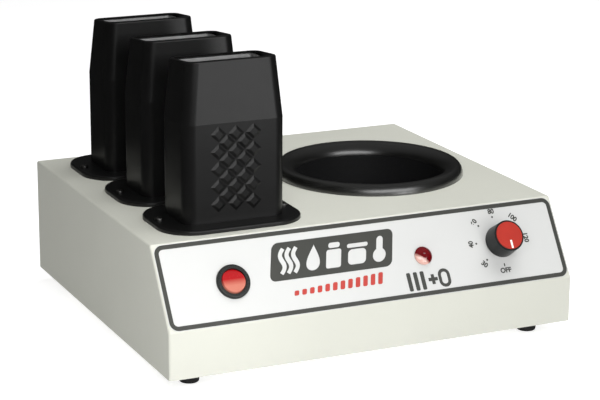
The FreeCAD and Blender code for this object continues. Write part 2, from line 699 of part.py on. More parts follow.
def make_cartridge_heaters():
    """Three housings with everything inside them, and their screws."""
    housing = make_housing()
    sleeve = make_sleeve()
    mica = make_mica()
    spring = make_spring()
    heater = box(SLEEVE_W / 2, SLEEVE_W / 2 + HEATER_T, -HEATER_D / 2, HEATER_D / 2, 0, HEATER_H)
    micas = []
    springs = []
    for name, at in housing_places().items():
        parts["cartridge_housing_" + name] = housing.translated(at)
        parts["cartridge_sleeve_" + name] = sleeve.translated(at + V(0, 0, MICA_T))
        parts["cartridge_heater_" + name] = heater.translated(at + V(0, 0, MICA_T + HEATER_Z))
        micas.append(mica.translated(at))
        middle = V(SLEEVE_W / 2 + HEATER_T, 0, MICA_T + HEATER_Z + HEATER_H / 2)
        springs.append(spring.translated(at + middle))
    parts["sleeve_base_plates"] = Part.makeCompound(micas)
    parts["heater_springs"] = Part.makeCompound(springs)
    length = 3 * FLANGE_T
    screws = [screw(M3_R, length, at + V(0, 0, FLANGE_T)) for at in housing_screw_places()]
    parts["housing_screws"] = Part.makeCompound(screws)


def pot_axis(rise):
    """Point on the pot's axis, measured up from the casing's top."""
    return V(POT_X, POT_Y, TOP_Z + rise)


def make_pot():
    """Heated pot, hung by its rim from the casing's top."""
    outer_corner = POT_CORNER_R + POT_WALL
    floor = -POT_DEPTH - POT_FLOOR
    outer = POT_R + POT_WALL
    seat_outer = POT_SEAT_R + POT_WALL
    outline = [(0, floor), (outer - outer_corner, floor),
               quarter((outer - outer_corner, floor + outer_corner), outer_corner, -90, 0),
               (outer, -POT_SEAT_D - POT_WALL), (seat_outer, -POT_SEAT_D - POT_WALL), (seat_outer, 0),
               (POT_RIM_R, 0), (POT_RIM_R, POT_RIM_T), (POT_SEAT_R, POT_RIM_T),
               (POT_SEAT_R, -POT_SEAT_D), (POT_R, -POT_SEAT_D), (POT_R, -POT_DEPTH + POT_CORNER_R),
               quarter((POT_R - POT_CORNER_R, -POT_DEPTH + POT_CORNER_R), POT_CORNER_R, 0, -90),
               (0, -POT_DEPTH), (0, floor)]
    return turned(outline, pot_axis(0))


def make_collar():
    """Moulded collar round and just inside the pot's mouth, with its clamp ring and screws."""
    crest = COLLAR_R - COLLAR_EDGE_R
    lip_z = COLLAR_H - COLLAR_LIP_R
    lip_end = 180 - math.degrees(math.asin((-COLLAR_LIP_D - lip_z) / COLLAR_LIP_R))
    lip_back = POT_SEAT_R - CLEAR
    recess = POT_RIM_R + COLLAR_RIM_GAP
    outline = [(COLLAR_R, 0), (COLLAR_R, COLLAR_H - COLLAR_EDGE_R),
               quarter((crest, COLLAR_H - COLLAR_EDGE_R), COLLAR_EDGE_R, 0, 90),
               quarter((crest, lip_z), COLLAR_LIP_R, 90, lip_end),
               (lip_back, -COLLAR_LIP_D), (lip_back, POT_RIM_T),
               (recess, POT_RIM_T), (recess, 0), (COLLAR_R, 0)]
    collar = turned(outline, pot_axis(0))
    ring = rod(CLAMP_RING_OUT, CLAMP_RING_T, pot_axis(-SHEET - CLAMP_RING_T))
    ring = ring.cut(rod(CLAMP_RING_IN, CLAMP_RING_T, pot_axis(-SHEET - CLAMP_RING_T)))
    grip = COLLAR_H * 0.6
    screws = []
    for at in collar_screw_places():
        collar = collar.cut(rod(M3_R, grip, at))
        ring = ring.cut(rod(M3_R + CLEAR, DEEP, at - V(0, 0, DEEP / 2)))
        seat = at - V(0, 0, SHEET + CLAMP_RING_T)
        screws.append(screw(M3_R, grip + SHEET + CLAMP_RING_T, seat, V(0, 0, 1)))
    parts["pot_collar"] = collar
    parts["collar_clamp_ring"] = ring
    parts["collar_screws"] = Part.makeCompound(screws)


def make_band_heater():
    """Band heater clamped round the pot, its screw and nut, and the wool round it."""
    inner = POT_R + POT_WALL
    outer = inner + BAND_T
    foot = V(POT_X, POT_Y, BAND_Z)
    ear_z = BAND_Z + BAND_H / 4
    ear_h = BAND_H / 2
    band = rod(outer, BAND_H, foot)
    gap = box(POT_X - outer - 1, POT_X, POT_Y - BAND_GAP / 2, POT_Y + BAND_GAP / 2, BAND_Z, BAND_Z + BAND_H)
    ear_end = POT_X - outer - EAR_L
    for side in (-1, 1):
        y0, y1 = sorted((POT_Y + side * BAND_GAP / 2, POT_Y + side * (BAND_GAP / 2 + EAR_T)))
        band = band.fuse(box(ear_end, POT_X - inner, y0, y1, ear_z, ear_z + ear_h))
    band = band.cut(rod(inner, BAND_H, foot)).cut(gap)
    ear = V(ear_end + EAR_L / 2, POT_Y - BAND_GAP / 2 - EAR_T, BAND_Z + BAND_H / 2)
    grip = BAND_GAP + 2 * EAR_T
    band = band.cut(rod(M4_R + CLEAR, grip, ear, V(0, 1, 0)))
    parts["pot_band_heater"] = band
    parts["band_screw"] = screw(M4_R, grip + M4_NUT_H + M4_R / 2, ear, V(0, 1, 0))
    nut = hexagon(M4_NUT_AF, M4_NUT_H, V(0, 0, 0)).cut(rod(M4_R, M4_NUT_H, V(0, 0, 0)))
    nut.Placement = FreeCAD.Placement(ear + V(0, grip, 0), FreeCAD.Rotation(V(0, 0, 1), V(0, 1, 0)))
    parts["band_nut"] = nut

    base = V(POT_X, POT_Y, WOOL_Z)
    wool_in = outer + CLEAR
    wool = rod(wool_in + WOOL_T, WOOL_H, base).cut(rod(wool_in, WOOL_H, base))
    slot = box(POT_X - DEEP, POT_X, POT_Y - WOOL_SLOT / 2, POT_Y + WOOL_SLOT / 2, WOOL_Z, WOOL_Z + WOOL_H)
    parts["pot_insulation"] = wool.cut(slot)


def strap_screw_places(half_width, at):
    """Where the screws of a hanging strap meet its feet."""
    y = half_width + BULB_CLIP_W / 2 + BULB_CLIP_T / 2
    return [at + V(0, side * y, -BULB_CLIP_T) for side in (-1, 1)]


def hanging_strap(half_width, depth, length, at):
    """Hat-shaped strap that hangs from a flat face, its two feet along Y."""
    t = BULB_CLIP_T
    foot = half_width + BULB_CLIP_W
    half = ((foot, 0), (foot, -t), (half_width + t, -t), (half_width + t, -depth - t))
    inner = ((half_width, 0), (half_width, -depth))
    outline = list(half) + [(-y, z) for y, z in reversed(half)]
    outline += [(-y, z) for y, z in inner] + list(reversed(inner))
    points = [at + V(-length / 2, y, z) for y, z in outline + outline[:1]]
    strap = Part.Face(Part.makePolygon(points)).extrude(V(length, 0, 0))
    for screw_at in strap_screw_places(half_width, at):
        strap = strap.cut(rod(M3_R + CLEAR, 4 * t, screw_at - V(0, 0, 2 * t)))
    return strap


def make_sensors():
    """Thermal cut-out and thermostat bulb under the pot, each with its strap."""
    under = pot_axis(-POT_DEPTH - POT_FLOOR) - V(0, BULB_OFFSET_Y / 2, 0)
    cap_h = CUTOUT_H / 3
    body = rod(CUTOUT_R, CUTOUT_H - cap_h, under - V(0, 0, CUTOUT_H))
    cutout = body.fuse(rod(CUTOUT_CAP_R, cap_h, under - V(0, 0, cap_h)))
    thick, wide, long = SWITCH_BLADE
    for side in (-1, 1):
        middle = under + V(side * (CUTOUT_R + long / 2 - EMBED), 0, -CUTOUT_H + thick)
        cutout = cutout.fuse(block(long, wide, thick, middle))
    parts["thermal_cutout"] = cutout
    parts["cutout_strap"] = hanging_strap(CUTOUT_R + CLEAR, CUTOUT_H, 2 * M3_R + 4, under)
    screws = strap_screw_places(CUTOUT_R + CLEAR, under)

    seat = pot_axis(-POT_DEPTH - POT_FLOOR) + V(0, BULB_OFFSET_Y, 0)
    middle = seat - V(0, 0, BULB_R + CLEAR / 2)
    parts["thermostat_bulb"] = rod(BULB_R, BULB_L, middle - V(BULB_L / 2, 0, 0), V(1, 0, 0))
    parts["bulb_strap"] = hanging_strap(BULB_R + CLEAR, 2 * BULB_R + CLEAR, 2 * M3_R + 4, seat)
    screws += strap_screw_places(BULB_R + CLEAR, seat)
    floor_grip = POT_FLOOR * 0.6
    holes = [rod(M3_R, floor_grip, at + V(0, 0, BULB_CLIP_T)) for at in screws]
    parts["heating_pot"] = make_pot().cut(Part.makeCompound(holes))
    bodies = [screw(M3_R, floor_grip + BULB_CLIP_T, at, V(0, 0, 1)) for at in screws]
    parts["strap_screws"] = Part.makeCompound(bodies)
    return middle + V(BULB_L / 2, 0, 0)


def make_inlet():
    """Mains inlet on the back: moulded socket, its three pins and two screws."""
    half_w = INLET_FLANGE_W / 2
    half_h = INLET_FLANGE_H / 2
    outside = BACK_Y + INLET_FLANGE_T
    shape = box(INLET_X - half_w, INLET_X + half_w, BACK_Y, outside, INLET_Z - half_h, INLET_Z + half_h)
    shape = shape.makeFillet(INLET_FLANGE_H / 4, [e for e in shape.Edges if abs(e.tangentAt(0).y) > 0.9])
    shape = shape.fuse(box(INLET_X - INLET_BODY_W / 2, INLET_X + INLET_BODY_W / 2,
                           outside - INLET_BODY_L, BACK_Y,
                           INLET_Z - INLET_BODY_H / 2, INLET_Z + INLET_BODY_H / 2))
    w = INLET_SOCKET_W / 2
    h = INLET_SOCKET_H / 2
    bevel = INLET_SOCKET_H / 4
    outline = ((-w, -h), (w, -h), (w, h - bevel), (w - bevel, h), (-w + bevel, h), (-w, h - bevel))
    points = [V(INLET_X + x, outside, INLET_Z + z) for x, z in outline + outline[:1]]
    shape = shape.cut(Part.Face(Part.makePolygon(points)).extrude(V(0, -INLET_SOCKET_L, 0)))
    pins = []
    for i, rise in ((-1, 0), (0, PIN_RISE), (1, 0)):
        at = V(INLET_X + i * PIN_PITCH, outside - PIN_L / 2 - PIN_H, INLET_Z - PIN_H + rise)
        pins.append(block(PIN_W, PIN_L, PIN_H, at))
    for at in inlet_screw_places():
        shape = shape.cut(rod(M3_R + CLEAR, DEEP, at, V(0, -1, 0)))
    parts["mains_inlet"] = shape.cut(Part.makeCompound(pins))
    parts["inlet_pins"] = Part.makeCompound(pins)
    length = 3 * INLET_FLANGE_T
    screws = [screw(M3_R, length, at, V(0, -1, 0)) for at in inlet_screw_places()]
    parts["inlet_screws"] = Part.makeCompound(screws)


def terminal_end(way, side):
    """Where a lead meets the terminal block: way number from the left, side -1 front or 1 back."""
    x = TERMINAL_X + (way - (TERMINAL_WAYS - 1) / 2) * TERMINAL_PITCH
    return V(x, TERMINAL_Y + side * TERMINAL_D / 2, PLATE_TOP_Z + TERMINAL_H / 2)


def make_terminal_block():
    """Moulded terminal block with a screw well over every entry."""
    at = V(TERMINAL_X, TERMINAL_Y, PLATE_TOP_Z)
    shape = block(TERMINAL_WAYS * TERMINAL_PITCH, TERMINAL_D, TERMINAL_H, at)
    for way in range(TERMINAL_WAYS):
        for side in (-1, 1):
            entry = terminal_end(way, side)
            shape = shape.cut(rod(TERMINAL_BORE_R, TERMINAL_D / 4, entry, V(0, -side, 0)))
            well = V(entry.x, TERMINAL_Y + side * TERMINAL_D / 4, PLATE_TOP_Z + TERMINAL_H * 0.7)
            shape = shape.cut(rod(TERMINAL_BORE_R, TERMINAL_H, well))
    return shape


def laid(x, y, rise):
    """Hand-laid point of a lead, above the base plate."""
    return V(x, y, PLATE_TOP_Z + rise)


def lead_to_terminal(start, middle, way, side):
    """Lead from a point, through hand-laid points, straight into the terminal block."""
    end = terminal_end(way, side)
    run_in = end + V(0, side * TERMINAL_D * 0.6, -1)
    stop = end - V(0, side * TERMINAL_D * 0.2, 0)
    return tube([start] + middle + [run_in, stop], LEAD_R)


def make_heater_leads():
    """Leads from the terminal block to the four heaters."""
    drop = V(LEAD_X, 0, MICA_T + HEATER_Z)
    front, middle, rear = (housing_places()[name] + drop for name in ("front", "middle", "rear"))
    cartridge = [
        lead_to_terminal(front, [laid(front.x, front.y, 41), laid(-46, -38, 11), laid(-40, 8, 5)], 2, -1),
        lead_to_terminal(middle, [laid(middle.x, middle.y, 39), laid(-54, 30, 13)], 1, -1),
        lead_to_terminal(rear, [laid(rear.x, rear.y + 2, 47), laid(-50, 103, 17)], 1, 1),
    ]
    parts["cartridge_leads"] = Part.makeCompound(cartridge)
    band_out = POT_X - POT_R - POT_WALL - BAND_T
    band = V(band_out, POT_Y + WOOL_SLOT / 2 - LEAD_R - 2, BAND_Z + LEAD_R + 2)
    parts["pot_heater_lead"] = lead_to_terminal(
        band + V(LEAD_R / 2, 0, 0), [band - V(12, 0, 0), laid(-13, 34, 13)], 5, -1)


def make_control_leads():
    """Leads from the terminal block to the mains inlet and the panel's controls."""
    inlet_back = V(INLET_X, BACK_Y + INLET_FLANGE_T - PIN_L - PIN_H, INLET_Z - PIN_H / 2 + PIN_RISE)
    parts["mains_lead"] = lead_to_terminal(
        inlet_back, [V(INLET_X, 88, inlet_back.z), laid(-88, 84, 9), laid(-72, 98, 6)], 0, 1)
    switch_back = panel_point(ROCKER_AT, -SWITCH_DEPTH - SWITCH_BLADE[2])
    parts["switch_lead"] = lead_to_terminal(
        switch_back,
        [panel_point(ROCKER_AT, -46), laid(-96, -52, 7), laid(-84, -4, 5), laid(-68, 30, 6)], 0, -1)
    lamp_back = panel_point(LAMP_AT, -SHEET - LAMP_BODY_L)
    parts["lamp_lead"] = lead_to_terminal(
        lamp_back, [panel_point(LAMP_AT, -42), laid(20, -78, 9), laid(-20, -58, 5), laid(-32, -8, 4)], 3, -1)
    tap = (DIAL_AT[0] - THERMO_W / 4, DIAL_AT[1])
    parts["thermostat_lead"] = lead_to_terminal(
        panel_point(tap, -SHEET - THERMO_L),
        [panel_point(tap, -38), laid(62, -82, 11), laid(12, -74, 5), laid(-17, -38, 6), laid(-22, 8, 5)],
        4, -1)


def make_capillary(bulb_end):
    """The thermostat's capillary, from its body to the end of its bulb."""
    tap = (DIAL_AT[0] + THERMO_W / 4, DIAL_AT[1])
    route = [panel_point(tap, -SHEET - THERMO_L), panel_point(tap, -36), laid(116, -66, 11),
             laid(122, -30, 5), laid(120, 6, 6), bulb_end + V(16, 0, 0), bulb_end]
    parts["capillary_tube"] = tube(route, CAPILLARY_R)


def build():
    """Makes every sub-part."""
    parts["casing_shell"] = make_casing()
    parts["base_plate"] = make_base_plate()
    grip = 2 * SHEET + M3_R
    screws = [screw(M3_R, grip, at - V(0, 0, SHEET), V(0, 0, 1)) for at in tab_places()]
    parts["base_screws"] = Part.makeCompound(screws)
    make_feet()
    parts["control_label"] = make_label()
    make_rocker_switch()
    make_indicator()
    make_thermostat()
    make_knob()
    make_cartridge_heaters()
    make_collar()
    make_band_heater()
    bulb_end = make_sensors()
    make_inlet()
    parts["terminal_block"] = make_terminal_block()
    make_heater_leads()
    make_control_leads()
    make_capillary(bulb_end)


build()
os.makedirs("parts", exist_ok=True)
for name, shape in parts.items():
    shape.exportStep("parts/%s.step" % name)
    print("%-26s solids %2d  valid %s" % (name, len(shape.Solids), shape.isValid()))
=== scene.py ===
"""Looks of the wax warmer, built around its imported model.

Metres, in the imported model's frame: +X right, +Y to the back, +Z up. Print on the control
panel is drawn in millimetres, across and up the panel.
"""

import json
import math

import bmesh
import bpy
from mathutils import Matrix, Vector


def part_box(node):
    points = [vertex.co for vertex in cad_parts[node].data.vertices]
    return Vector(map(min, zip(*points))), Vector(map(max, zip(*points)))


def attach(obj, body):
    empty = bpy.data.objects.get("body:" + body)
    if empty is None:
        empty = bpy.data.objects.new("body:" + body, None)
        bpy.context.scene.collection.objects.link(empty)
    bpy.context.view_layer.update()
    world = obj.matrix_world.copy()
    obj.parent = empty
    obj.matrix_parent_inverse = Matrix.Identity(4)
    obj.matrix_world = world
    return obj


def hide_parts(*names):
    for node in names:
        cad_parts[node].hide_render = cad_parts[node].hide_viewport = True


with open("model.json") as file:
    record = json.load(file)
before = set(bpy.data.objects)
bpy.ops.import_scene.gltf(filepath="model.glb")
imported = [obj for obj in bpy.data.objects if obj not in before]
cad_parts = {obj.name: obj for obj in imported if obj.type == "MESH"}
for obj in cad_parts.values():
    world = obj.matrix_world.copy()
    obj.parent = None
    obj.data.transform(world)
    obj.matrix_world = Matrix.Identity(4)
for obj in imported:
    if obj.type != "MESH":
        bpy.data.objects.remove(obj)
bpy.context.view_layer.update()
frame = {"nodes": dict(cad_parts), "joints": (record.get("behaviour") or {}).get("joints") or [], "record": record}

MM = 0.001

# Camera
CAMERA_AT = (-0.5983, -1.3003, 0.4802)
CAMERA_TURN = -24.857
CAMERA_DROP = 15.631
CAMERA_ROLL = 0.33
LENS_MM = 123.96

# Studio: name, place, target, width, height, watts, spread in degrees, whether gloss mirrors it
# Two lights are left out of gloss, so that black parts keep only the highlights of the front ones.
LIGHTS = (
    ("main_softbox", (0.05, -1.05, 0.55), (0.0, -0.02, 0.10), 1.30, 0.44, 5.6, 180, True),
    ("low_softbox", (0.34, -1.00, 0.10), (-0.06, -0.05, 0.15), 0.40, 0.16, 1.2, 180, True),
    ("left_softbox", (-0.30, -0.45, 0.30), (-0.13, -0.13, 0.06), 0.14, 0.14, 0.20, 70, False),
    ("top_softbox", (0.40, 0.0, 1.50), (0.0, 0.0, 0.10), 1.30, 1.50, 26.0, 180, False),
)
SKY_ABOVE = 0.15
SKY_LOW = 0.015
SKY_RISES = (0.25, 0.90)      # height of a direction, from 0 level to 1 upright, where the sky brightens
FLOOR_HALF = 9.0

# Print on the label, in millimetres
PRINT_T = 0.04
BORDER_MARGIN = 0.4
BORDER_STROKE = 3.0
BORDER_R = 6.1
CORNER_POINTS = 8
DIAL_SHIFT = (-1.45, 0.65)    # the dial's middle from the knob's axis
DIAL_DOT_R = 0.75
DIAL_DOT_POINTS = 20
OFF_BAR = (0.9, 2.25, 0.375)   # width, height and corner radius of the mark at OFF
DIAL_DOTS_R = 17.4
DIAL_TEXT_R = 21.4
DIAL_TEXT_SIZE = 4.8
DIAL_TEXT_WEIGHT = 0.20
DIAL_LONG_SHIFT = 0.5         # how much further out the three-digit numbers stand
WELD = 0.0005
LABEL_SHEET_T = 0.3
LABEL_INSET = 0.85            # from the panel's bottom edge up to the label
DIAL_MARKS = ("OFF", "30", "40", "60", "80", "100", "120")
DIAL_STEP = 45.0
SLANT = 0.28
PLATE_MIDDLE = (-25.0, 38.0)
PLATE_W = 90.0
PLATE_H = 26.0
PLATE_R = 4.5
ICON_MARGIN = 5.0
WAVE_H = 17.0
WAVE_STROKE = 3.0
WAVE_PITCH = 4.8
WAVE_SWING = 0.11
WAVE_STEPS = 18
WAVES_W = 16.4
DROP_HALF = 7.0
DROP_STRETCH = 1.25
DROP_TAPER = 1.5
DROP_POINTS = 40
DROP_W = 10.8
CARTRIDGE_BODY = (0, -2.6, 11.0, 12.6, 1.6)    # rounded rectangles: middle, width, height, corner radius
CARTRIDGE_CAP = (0, 6.6, 8.4, 3.6, 1.6)
POT_BODY = (0, -3.2, 13.4, 10.4, 3.0)
POT_LID = (0, 4.6, 15.4, 2.8, 1.3)
STEM_TOP = (0, 6.4, 2.4)                       # arcs: middle, radius
BULB = (0, -4.2, 4.8)
BARS_LEFT = -57.0
BARS_UP = 13.7
BAR_W = 3.4
BAR_PITCH = 5.6
BAR_N = 12
BAR_LOW = 3.4
BAR_HIGH = 8.0
COUNT_MIDDLE = (41.0, 12.0)
COUNT_H = 13.0
COUNT_BAR_W = 3.0
COUNT_BAR_PITCH = 5.1
COUNT_BARS_SHIFT = -14.5
CARTRIDGES = 3
BAR_CORNER = 0.3              # of a bar's width
PLUS_SHIFT = 3.2
PLUS_SIZE = 7.0
PLUS_STROKE = 2.4
RING_SHIFT = 12.0
RING_OUTER = (9.0, 13.0, 4.4)                  # width, height, corner radius
RING_HOLE = (4.4, 8.4, 2.1)

# Collar's section, in millimetres
COLLAR_EDGE_W = 5.0
COLLAR_LIP_R = 10.0
COLLAR_LIP_D = 1.5
COLLAR_LIP_BACK = 55.3
COLLAR_RECESS_R = 62.4
POT_RIM_T = 1.5
COLLAR_POINTS = 24
COLLAR_TURNS = 240
SHARP_FROM = math.radians(40)

# Glass wool, in metres and radians
WOOL_THICK = 0.009
WOOL_SINK = 0.0014
WOOL_OPEN = math.radians(14.0)
WOOL_ROUND = 28
WOOL_STATIONS = 160
WOOL_CORNER = 0.35            # exponent that squares the section: 1 is round, 0 is a box
WOOL_WAVE_SIZES = (1.0, 0.7, 0.5)


# Small mesh helpers

def link(name, data):
    """New object in the scene."""
    made = bpy.data.objects.new(name, data)
    bpy.context.scene.collection.objects.link(made)
    return made


def middle_of(node):
    """Middle of a CAD node's box."""
    low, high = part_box(node)
    return (low + high) / 2


# The control panel's own plane

joints = {joint["name"]: joint for joint in frame["joints"]}
PANEL_NORMAL = -Vector(joints["knob_turn"]["axis"]).normalized()
PANEL_RIGHT = Vector((1, 0, 0))
PANEL_UP = PANEL_NORMAL.cross(PANEL_RIGHT)
# Direction of the lens's painted highlight, towards its lower left.
LENS_PAINTED_HIGHLIGHT_ACROSS = 0.8        # of its reach down the panel
LENS_PAINTED_HIGHLIGHT_WAY = (-PANEL_RIGHT * LENS_PAINTED_HIGHLIGHT_ACROSS - PANEL_UP).normalized()
LABEL_LOW, LABEL_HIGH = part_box("control_label")
LABEL_T = LABEL_SHEET_T * MM
LABEL_W = (LABEL_HIGH.x - LABEL_LOW.x) / MM
LABEL_H = (LABEL_HIGH.z - LABEL_LOW.z - LABEL_T * PANEL_NORMAL.z) / PANEL_UP.z / MM
LABEL_TOP = middle_of("control_label") + PANEL_NORMAL * LABEL_T / 2
PANEL_ORIGIN = LABEL_TOP - PANEL_UP * (LABEL_H / 2 + LABEL_INSET) * MM


def panel_place(point):
    """(across, up) in millimetres of a point of the frame, seen square on to the panel."""
    away = Vector(point) - PANEL_ORIGIN
    return away.dot(PANEL_RIGHT) / MM, away.dot(PANEL_UP) / MM


def panel_matrix(across, up, rise=0.0, turn=0.0):
    """Places a shape drawn in millimetres on the label."""
    axes = Matrix((PANEL_RIGHT, PANEL_UP, PANEL_NORMAL)).transposed().to_4x4()
    at = PANEL_ORIGIN + (PANEL_RIGHT * across + PANEL_UP * up + PANEL_NORMAL * rise) * MM
    spin = Matrix.Rotation(math.radians(turn), 4, "Z")
    return Matrix.Translation(at) @ axes @ spin @ Matrix.Scale(MM, 4)


# Outlines, in millimetres

def arc_points(cx, cy, radius, start, stop, count):
    """Points along an arc, angles in degrees."""
    angles = [math.radians(start + (stop - start) * i / count) for i in range(count + 1)]
    return [(cx + radius * math.cos(a), cy + radius * math.sin(a)) for a in angles]


def circle(cx, cy, radius, count):
    """Closed circle."""
    return arc_points(cx, cy, radius, 0, 360, count)[:-1]


def rounded_rectangle(cx, cy, width, height, radius):
    """Closed rectangle with round corners."""
    x = width / 2 - radius
    y = height / 2 - radius
    points = []
    for sx, sy, start in ((1, 1, 0), (-1, 1, 90), (-1, -1, 180), (1, -1, 270)):
        points += arc_points(cx + sx * x, cy + sy * y, radius, start, start + 90, CORNER_POINTS)
    return points


def ribbon(line, width):
    """Closed outline of a stroke along a line of points, with square ends."""
    left = []
    right = []
    for i, (x, y) in enumerate(line):
        before = line[max(i - 1, 0)]
        after = line[min(i + 1, len(line) - 1)]
        along = Vector((after[0] - before[0], after[1] - before[1])).normalized() * width / 2
        left.append((x - along.y, y + along.x))
        right.append((x + along.y, y - along.x))
    return left + right[::-1]


def cross(cx, cy, size, stroke):
    """Closed upright cross."""
    a = size / 2
    b = stroke / 2
    corners = ((a, b), (b, b), (b, a), (-b, a), (-b, b), (-a, b),
               (-a, -b), (-b, -b), (-b, -a), (b, -a), (b, -b), (a, -b))
    return [(cx + x, cy + y) for x, y in corners]


def slanted(outline, across=0.0):
    """An outline moved across and leant to the right."""
    return [(x + across + SLANT * y, y) for x, y in outline]


# Materials

def node(tree, kind, inputs=(), **settings):
    """New shader node with its settings, and with inputs linked or set by name."""
    made = tree.nodes.new(kind)
    for key, value in settings.items():
        setattr(made, key, value)
    for key, value in dict(inputs).items():
        if isinstance(value, bpy.types.NodeSocket):
            tree.links.new(value, made.inputs[key])
        else:
            made.inputs[key].default_value = value
    return made


def own_place(tree, stretch=(1, 1, 1)):
    """The surface's place in the object's own metres, stretched along each axis."""
    coordinates = node(tree, "ShaderNodeTexCoord")
    mapping = node(tree, "ShaderNodeMapping", {"Vector": coordinates.outputs["Object"], "Scale": stretch})
    return mapping.outputs["Vector"]


def noise(tree, per_metre, detail=3.0, stretch=(1, 1, 1)):
    """Noise of that many cells to the metre."""
    made = node(tree, "ShaderNodeTexNoise",
                {"Vector": own_place(tree, stretch), "Scale": per_metre, "Detail": detail})
    return made.outputs["Fac"]


def between(tree, source, low, high, start=0.3, stop=0.7):
    """A number between low and high as source goes from start to stop."""
    made = node(tree, "ShaderNodeMapRange",
                {"Value": source, "From Min": start, "From Max": stop, "To Min": low, "To Max": high})
    return made.outputs["Result"]


def mixed(tree, source, first, second):
    """A colour between two as source goes from 0 to 1."""
    made = node(tree, "ShaderNodeMix", data_type="RGBA")
    tree.links.new(source, made.inputs["Factor"])
    for key, value in (("A", first), ("B", second)):
        socket = [s for s in made.inputs if s.name == key and s.type == "RGBA"][0]
        if isinstance(value, bpy.types.NodeSocket):
            tree.links.new(value, socket)
        else:
            socket.default_value = (*value, 1)
    return [s for s in made.outputs if s.type == "RGBA"][0]


def scaled(colour, factor):
    """A colour made lighter or darker."""
    return tuple(channel * factor for channel in colour)


def bump(tree, height, distance, strength=1.0, onto=None):
    """Surface normal from a height between 0 and 1, on top of another normal."""
    inputs = {"Height": height, "Distance": distance, "Strength": strength}
    if onto is not None:
        inputs["Normal"] = onto
    return node(tree, "ShaderNodeBump", inputs).outputs["Normal"]


def finish(name, colour, roughness, spread=0.06, mottle=0.05, mottle_scale=30.0, grain=1500.0,
           grain_height=0.00002, stretch=(1, 1, 1), **shader_values):
    """Material with mottled colour, uneven gloss and a fine grain."""
    made = bpy.data.materials.new(name)
    made.use_nodes = True
    tree = made.node_tree
    shader = tree.nodes["Principled BSDF"]
    cloud = between(tree, noise(tree, mottle_scale, stretch=stretch), 0, 1)
    tree.links.new(mixed(tree, cloud, scaled(colour, 1 - mottle), scaled(colour, 1 + mottle)),
                   shader.inputs["Base Color"])
    fine = noise(tree, grain, detail=2.0, stretch=stretch)
    tree.links.new(between(tree, fine, roughness - spread, roughness + spread), shader.inputs["Roughness"])
    tree.links.new(bump(tree, fine, grain_height), shader.inputs["Normal"])
    for key, value in shader_values.items():
        shader.inputs[key.replace("_", " ")].default_value = value
    return made


def paint():
    """Satin powder coat: fine orange peel over a faint cloudiness."""
    made = finish("powder_coat", (0.560, 0.565, 0.505), 0.42, spread=0.05, mottle=0.018,
                  mottle_scale=14.0, grain=900.0, grain_height=0.00003, Specular_IOR_Level=0.4)
    tree = made.node_tree
    shader = tree.nodes["Principled BSDF"]
    fine = shader.inputs["Normal"].links[0].from_socket
    tree.links.new(bump(tree, noise(tree, 160.0), 0.00006, onto=fine), shader.inputs["Normal"])
    return made


def pot_lining():
    """Black non-stick coating over turned aluminium: fine rings and pale flecks."""
    made = finish("non_stick", (0.012, 0.012, 0.0125), 0.38, grain=1200.0, Specular_IOR_Level=0.35)
    tree = made.node_tree
    shader = tree.nodes["Principled BSDF"]
    middle = middle_of("heating_pot")
    place = node(tree, "ShaderNodeTexCoord").outputs["Object"]
    from_axis = node(tree, "ShaderNodeVectorMath", operation="SUBTRACT")
    tree.links.new(place, from_axis.inputs[0])
    from_axis.inputs[1].default_value = (middle.x, middle.y, 0)
    flat = node(tree, "ShaderNodeVectorMath", operation="MULTIPLY")
    tree.links.new(from_axis.outputs[0], flat.inputs[0])
    flat.inputs[1].default_value = (1, 1, 0.4)
    rings = node(tree, "ShaderNodeTexWave",
                 {"Vector": flat.outputs[0], "Scale": 260.0, "Distortion": 0.6},
                 wave_type="RINGS", rings_direction="SPHERICAL")
    fine = shader.inputs["Normal"].links[0].from_socket
    tree.links.new(bump(tree, rings.outputs["Fac"], 0.00002, onto=fine), shader.inputs["Normal"])
    flecks = node(tree, "ShaderNodeTexVoronoi", {"Vector": place, "Scale": 900.0})
    fleck = between(tree, flecks.outputs["Distance"], 1, 0, start=0.10, stop=0.16)
    base = shader.inputs["Base Color"].links[0].from_socket
    tree.links.new(mixed(tree, fleck, base, (0.05, 0.05, 0.052)), shader.inputs["Base Color"])
    return made


def painted_light_along(tree, start, way):
    """Distance from a point along a direction, for painted reflections and highlights that follow the part."""
    place = node(tree, "ShaderNodeTexCoord").outputs["Object"]
    away = node(tree, "ShaderNodeVectorMath", operation="SUBTRACT")
    tree.links.new(place, away.inputs[0])
    away.inputs[1].default_value = start
    distance = node(tree, "ShaderNodeVectorMath", operation="DOT_PRODUCT")
    tree.links.new(away.outputs[0], distance.inputs[0])
    distance.inputs[1].default_value = way
    return distance.outputs["Value"]


def rocker_glow_and_painted_reflection():
    """Translucent red button, lit from behind: a deep red glow above its middle, and a painted reflection that
    makes it paler below.
    """
    made = finish("rocker_glow_and_painted_reflection", (0.72, 0.012, 0.012), 0.24, spread=0.04, grain=1400.0,
                  grain_height=0.000008, Coat_Weight=0.4, Coat_Roughness=0.12)
    tree = made.node_tree
    shader = tree.nodes["Principled BSDF"]
    height = painted_light_along(tree, Vector(joints["rocker_tilt"]["pos_m"]), PANEL_UP)
    # Painted reflection: base and glow colours turn from deep red to pale pink below the button's middle.
    below = between(tree, height, 1, 0, start=-3.0 * MM, stop=1.6 * MM)
    for key, deep, pale in (("Base Color", (0.30, 0.004, 0.006), (0.42, 0.14, 0.10)),
                            ("Emission Color", (0.36, 0.004, 0.006), (0.55, 0.19, 0.14))):
        tree.links.new(mixed(tree, below, deep, pale), shader.inputs[key])
    shader.inputs["Emission Strength"].default_value = 0.22
    return made


